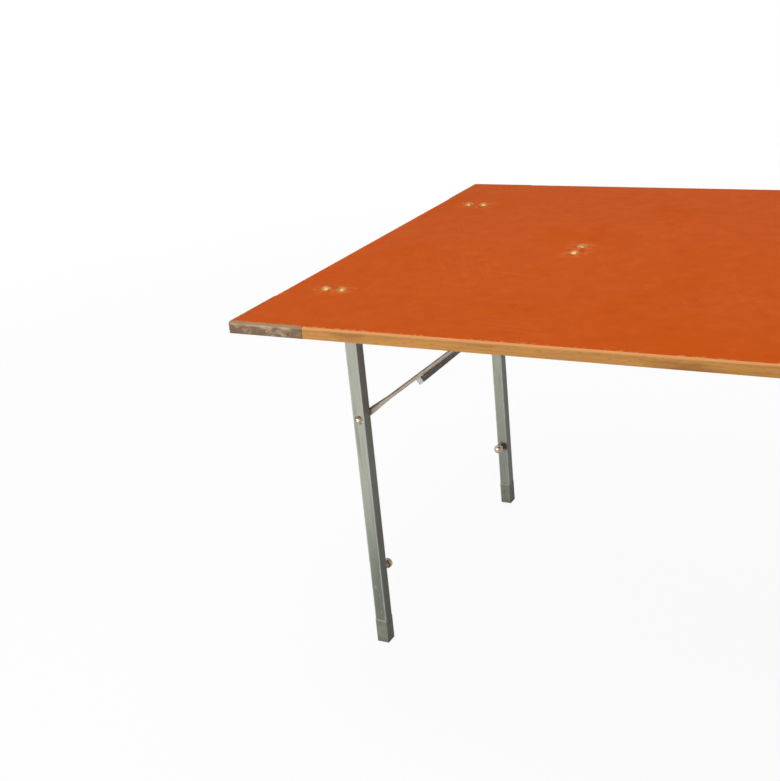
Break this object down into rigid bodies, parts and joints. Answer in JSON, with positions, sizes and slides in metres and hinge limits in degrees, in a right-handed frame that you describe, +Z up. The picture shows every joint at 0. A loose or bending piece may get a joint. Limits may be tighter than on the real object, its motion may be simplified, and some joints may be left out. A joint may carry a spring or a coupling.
{
  "type": "folding trestle table",
  "caption": "Rectangular laminated table with wood edges, whose square tube legs and their braces fold flat under the top, and whose feet slide out to level it.",
  "frame": {"origin": "on the floor under the middle of the top", "axes": "+X along the table's length, +Y across its width, +Z up"},
  "size_m": [2.0052, 1.0652, 0.745],
  "materials": {
    "orange_laminate": "satin orange",
    "core_board": "raw blockboard",
    "edge_wood": "oiled, worn",
    "guard_steel": "weathered",
    "rusty_screw": "rusty",
    "plated_bolt": "worn zinc plating",
    "bracket_steel": "grey paint",
    "spring_steel": "blued",
    "leg_paint": "satin grey paint",
    "foot_tube_steel": "plated",
    "foot_plastic": "moulded",
    "brace_plating": "worn zinc plating",
    "thumb_screw_metal": "worn zinc plating"
  },
  "bodies": {
    "table_top": {"table_core": "core_board", "top_laminate": "orange_laminate", "underside_laminate": "orange_laminate", "edge_lipping_front": "edge_wood", "edge_lipping_back": "edge_wood", "edge_lipping_left": "edge_wood", "edge_lipping_right": "edge_wood", "corner_guard_left_front": "guard_steel", "corner_guard_left_back": "guard_steel", "corner_guard_right_front": "guard_steel", "corner_guard_right_back": "guard_steel", "guard_screws": "rusty_screw", "top_bolts": "plated_bolt", "top_washers": "plated_bolt", "top_nuts": "plated_bolt", "hinge_bolts": "plated_bolt", "hinge_nuts": "plated_bolt", "leg_bracket_left_front": "bracket_steel", "leg_bracket_left_back": "bracket_steel", "leg_bracket_right_front": "bracket_steel", "leg_bracket_right_back": "bracket_steel", "brace_keeper_left": "bracket_steel", "catch_spring_left": "spring_steel", "brace_keeper_right": "bracket_steel", "catch_spring_right": "spring_steel"},
    "legs_left": {"leg_tube_left_front": "leg_paint", "leg_tube_left_back": "leg_paint", "brace_bolts_left": "plated_bolt", "brace_nuts_left": "plated_bolt", "clamp_bosses_left": "leg_paint"},
    "brace_left": {"brace_arm_left_front": "brace_plating", "brace_arm_left_back": "brace_plating", "brace_crossbar_left": "brace_plating", "brace_rod_left": "brace_plating"},
    "foot_left_front": {"foot_tube_left_front": "foot_tube_steel", "foot_cap_left_front": "foot_plastic"},
    "clamp_left_front": {"clamp_screw_left_front": "thumb_screw_metal"},
    "foot_left_back": {"foot_tube_left_back": "foot_tube_steel", "foot_cap_left_back": "foot_plastic"},
    "clamp_left_back": {"clamp_screw_left_back": "thumb_screw_metal"},
    "legs_right": {"leg_tube_right_front": "leg_paint", "leg_tube_right_back": "leg_paint", "brace_bolts_right": "plated_bolt", "brace_nuts_right": "plated_bolt", "clamp_bosses_right": "leg_paint"},
    "brace_right": {"brace_arm_right_front": "brace_plating", "brace_arm_right_back": "brace_plating", "brace_crossbar_right": "brace_plating", "brace_rod_right": "brace_plating"},
    "foot_right_front": {"foot_tube_right_front": "foot_tube_steel", "foot_cap_right_front": "foot_plastic"},
    "clamp_right_front": {"clamp_screw_right_front": "thumb_screw_metal"},
    "foot_right_back": {"foot_tube_right_back": "foot_tube_steel", "foot_cap_right_back": "foot_plastic"},
    "clamp_right_back": {"clamp_screw_right_back": "thumb_screw_metal"}
  },
  "joints": [
    {"name": "leg_fold_left", "type": "hinge", "parent": "table_top", "child": "legs_left", "pos_m": [-0.876, 0, 0.688], "axis": [0, -1, 0], "range_deg": [0, 90], "deforming": ["catch_spring_left"]},
    {"name": "brace_swing_left", "type": "hinge", "parent": "legs_left", "child": "brace_left", "pos_m": [-0.876, 0, 0.488], "axis": [0, 1, 0], "range_deg": [0, 126.03]},
    {"name": "foot_slide_left_front", "type": "slide", "parent": "legs_left", "child": "foot_left_front", "axis": [0, 0, -1], "range_m": [0, 0.12]},
    {"name": "clamp_turn_left_front", "type": "hinge", "parent": "legs_left", "child": "clamp_left_front", "pos_m": [-0.876, -0.325, 0.155], "axis": [0, -1, 0], "range_deg": [0, 360]},
    {"name": "foot_slide_left_back", "type": "slide", "parent": "legs_left", "child": "foot_left_back", "axis": [0, 0, -1], "range_m": [0, 0.12]},
    {"name": "clamp_turn_left_back", "type": "hinge", "parent": "legs_left", "child": "clamp_left_back", "pos_m": [-0.876, 0.325, 0.155], "axis": [0, 1, 0], "range_deg": [0, 360]},
    {"name": "leg_fold_right", "type": "hinge", "parent": "table_top", "child": "legs_right", "pos_m": [0.876, 0, 0.688], "axis": [0, 1, 0], "range_deg": [0, 90], "deforming": ["catch_spring_right"]},
    {"name": "brace_swing_right", "type": "hinge", "parent": "legs_right", "child": "brace_right", "pos_m": [0.876, 0, 0.488], "axis": [0, -1, 0], "range_deg": [0, 126.03]},
    {"name": "foot_slide_right_front", "type": "slide", "parent": "legs_right", "child": "foot_right_front", "axis": [0, 0, -1], "range_m": [0, 0.12]},
    {"name": "clamp_turn_right_front", "type": "hinge", "parent": "legs_right", "child": "clamp_right_front", "pos_m": [0.876, -0.325, 0.155], "axis": [0, -1, 0], "range_deg": [0, 360]},
    {"name": "foot_slide_right_back", "type": "slide", "parent": "legs_right", "child": "foot_right_back", "axis": [0, 0, -1], "range_m": [0, 0.12]},
    {"name": "clamp_turn_right_back", "type": "hinge", "parent": "legs_right", "child": "clamp_right_back", "pos_m": [0.876, 0.325, 0.155], "axis": [0, 1, 0], "range_deg": [0, 360]}
  ],
  "couplings": [
    {"joint": "brace_swing_left", "follows": "leg_fold_left", "ratio": 1.4002},
    {"joint": "brace_swing_right", "follows": "leg_fold_right", "ratio": 1.4002}
  ]
}
